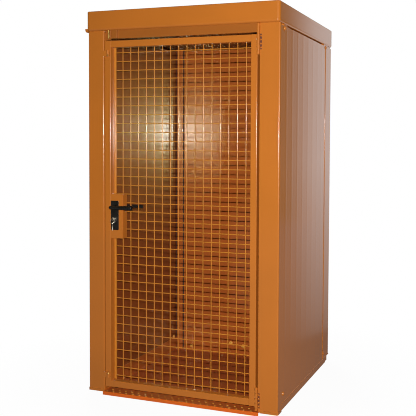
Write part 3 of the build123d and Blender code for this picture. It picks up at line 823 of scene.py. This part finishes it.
def makeRail(size):
    rear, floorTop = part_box("wall_rear")[0][1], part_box("floor_plate")[1][2]
    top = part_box("roof")[0][2] - size["belowRoof"]
    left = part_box("wall_left")[1][0] + size["shadeStrip"]
    right = left + size["width"]
    bm = bmesh.new()
    addBlock(bm, (left, rear - size["proud"], floorTop), (right, rear, top))
    front = [edge for edge in bm.edges if max(v.co.y for v in edge.verts) < rear - size["bevel"]]
    upright = [edge for edge in front if abs(edge.verts[0].co.z - edge.verts[1].co.z) > size["width"]]
    bmesh.ops.bevel(bm, geom=upright, offset=size["bevel"], segments=size["bevelSteps"], affect="EDGES",
                    profile=0.5, material=-1)
    piece = addPiece("corner_rail", bm, orangeCoat, "container")
    softenEdges(piece)
    bm = bmesh.new()
    for x in (left - size["shadeStrip"], right):
        addBlock(bm, (x, rear - size["shadeStripProud"], floorTop), (x + size["shadeStrip"], rear, top))
    addPiece("rail_shade_strips", bm, shadeStripRubber, "container", smooth=False)


makeRail(rail)
print("rail made")


# Beads of sealant and weld: along the floor's edges, down the right inner corner and the outer
# seams at the rear wall, along the drip edge, round the stop lugs' seats and beside the hinges,
# where a dark strip between the tacks is painted shade in the gap.
beads = {
    "floor": 0.0035, "seam": 0.003, "dripEdge": 0.0022, "shoeEnd": 0.058, "sides": 8, "softTo": 60.0,
    "weld": 0.0022, "weldStep": 0.0024, "weldLevel": 2, "stagger": 0.0004, "waveTurn": 2.3, "waveSwell": 0.5,
    "lugSeatFrom": 0.006, "lugSeatTo": 0.003, "tackCount": 4,
    "doorTack": {"radius": 0.0034, "length": 0.010, "fromEdge": 0.004},
    "jambTack": {"radius": 0.0046, "length": 0.002, "fromEdge": 0.0068},
    "gapShadeFrom": 0.0015, "gapShade": 0.0006,
}


def makeSeams(size):
    low, high = (Vector(corner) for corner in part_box("floor_plate"))
    inLeft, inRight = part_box("wall_left")[1][0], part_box("wall_right")[0][0]
    outLeft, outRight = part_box("wall_left")[0][0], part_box("wall_right")[1][0]
    front, rear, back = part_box("wall_left")[0][1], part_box("wall_rear")[0][1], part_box("wall_rear")[1][1]
    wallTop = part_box("wall_right")[1][2]
    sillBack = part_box("threshold")[1][1]
    bm = bmesh.new()
    addBar(bm, (inLeft, rear, high.z), (inRight, rear, high.z), size["floor"], size["sides"])
    for x in (inLeft, inRight):
        addBar(bm, (x, sillBack, high.z), (x, rear, high.z), size["floor"], size["sides"])
    corner = (inRight, rear, wallTop - size["floor"])
    addBar(bm, (inRight, rear, high.z), corner, size["floor"], size["sides"])
    foot, head = low.z + skin["foot"], wallTop - skin["head"]
    for x in (outLeft, outRight):
        addBar(bm, (x, rear, foot), (x, rear, head), size["seam"], size["sides"])
        addBar(bm, (x, front + size["shoeEnd"], foot), (x, back, foot), size["dripEdge"], size["sides"])
    addBar(bm, (outLeft, back, foot), (outRight, back, foot), size["dripEdge"], size["sides"])
    piece = addPiece("seam_beads", bm, orangeCoat, "container")
    softenEdges(piece, size["softTo"])


def addWeld(bm, start, end, size, radius):
    start, end = Vector(start), Vector(end)
    steps = max(2, round((end - start).length / size["weldStep"]))
    for i in range(steps + 1):
        wave = size["stagger"] * math.sin(i * size["waveTurn"])
        place = Matrix.Translation(start.lerp(end, i / steps) + Vector((wave, 0.0, 0.0)))
        bmesh.ops.create_icosphere(bm, subdivisions=size["weldLevel"],
                                   radius=radius + wave * size["waveSwell"], matrix=place)


def addTacks(bm, node, x, y, tack, size):
    # A row of short upright welds, spread over the height of a node.
    low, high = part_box(node)[0][2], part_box(node)[1][2]
    for i in range(size["tackCount"]):
        z = low + (high - low) * (i + 0.5) / size["tackCount"]
        addWeld(bm, (x, y, z - tack["length"] / 2), (x, y, z + tack["length"] / 2), size, tack["radius"])


def makeWelds(size):
    doorHalves = ("hinge_upper_door_half", "hinge_lower_door_half")
    bm = bmesh.new()
    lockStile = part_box("door_stile_lock")[0]
    for lug in ("stop_lug_upper", "stop_lug_lower"):
        low, high = (Vector(corner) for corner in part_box(lug))
        for z in (low.z, high.z):
            addWeld(bm, (lockStile[0] + size["lugSeatFrom"], lockStile[1], z),
                    (high.x - size["lugSeatTo"], lockStile[1], z), size, size["weld"])
    edge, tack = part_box("door_stile_hinge"), size["doorTack"]
    for half in doorHalves:
        addTacks(bm, half, edge[1][0] - tack["fromEdge"], edge[0][1], tack, size)
    piece = addPiece("door_welds", bm, orangeCoat, "door")
    softenEdges(piece, size["softTo"])
    bm, gapShadeStrips = bmesh.new(), bmesh.new()
    jamb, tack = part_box("hinge_jamb"), size["jambTack"]
    for half in doorHalves:
        addTacks(bm, half, jamb[0][0] + tack["fromEdge"], jamb[0][1], tack, size)
        low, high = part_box(half)
        addBlock(gapShadeStrips, (jamb[0][0] + size["gapShadeFrom"], jamb[0][1] - size["gapShade"], low[2]),
                 (jamb[1][0], jamb[0][1], high[2]))
    addPiece("hinge_gap_shade", gapShadeStrips, gapShadeCoat, "container", smooth=False)
    piece = addPiece("jamb_welds", bm, orangeCoat, "container")
    softenEdges(piece, size["softTo"])


makeSeams(beads)
makeWelds(beads)
print("beads made")


# The outer lever swells towards its rounded end, and each stop lug is riveted to its post.
fittings = {
    "neckStart": 0.045, "neck": 0.0096, "swell": 0.0128, "swellAt": 0.74, "axisFromFront": 0.0095,
    "tipRound": 0.006, "tipOver": 0.002, "tipShares": (0.35, 0.15, 0.04, 0.0), "steps": 24, "sides": 28,
    "softTo": 50.0, "rivet": 0.0045, "rivetHigh": 0.003, "rivetSide": 0.0055, "rivetEnd": 0.0055,
    "domeSteps": 5,
}


def gripRadius(size, fromTip, length):
    rise = math.sin(math.pi / 2 * min(1.0, (1.0 - fromTip / length) / size["swellAt"])) ** 2
    radius = size["neck"] + (size["swell"] - size["neck"]) * rise
    if fromTip < size["tipRound"]:
        radius -= size["tipRound"] - math.sqrt(size["tipRound"] ** 2 - (size["tipRound"] - fromTip) ** 2)
    return radius


def makeLeverGrip(size):
    low, high = (Vector(corner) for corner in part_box("lever_outer"))
    start = (low.x + size["neckStart"], low.y + size["axisFromFront"], (low.z + high.z) / 2)
    length = high.x + size["tipOver"] - start[0]
    places = [length * (1.0 - i / size["steps"]) for i in range(size["steps"])]
    places += [share * size["tipRound"] for share in size["tipShares"]]
    profile = [(gripRadius(size, fromTip, length), length - fromTip) for fromTip in places]
    bm = bmesh.new()
    addTurned(bm, profile, size["sides"], facing(start, (1, 0, 0)))
    piece = addPiece("lever_grip", bm, blackNylon, "lever")
    softenEdges(piece, size["softTo"])


def makeRivets(size):
    profile = domePoints(size["rivet"], size["rivetHigh"], size["domeSteps"])
    upper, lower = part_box("stop_lug_upper"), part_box("stop_lug_lower")
    bm = bmesh.new()
    for (low, high), z in ((upper, upper[0][2] + size["rivetEnd"]), (lower, lower[1][2] - size["rivetEnd"])):
        addTurned(bm, profile, size["sides"], facing((high[0] - size["rivetSide"], low[1], z), (0, -1, 0)))
    addPiece("lug_rivets", bm, yellowZinc, "door")


makeLeverGrip(fittings)
makeRivets(fittings)
print("fittings made")


# A narrow pixel filter keeps the wires as crisp as they are in the photo.
crispFilter = 1.0
scene.view_settings.view_transform = "Standard"
scene.cycles.filter_width = crispFilter
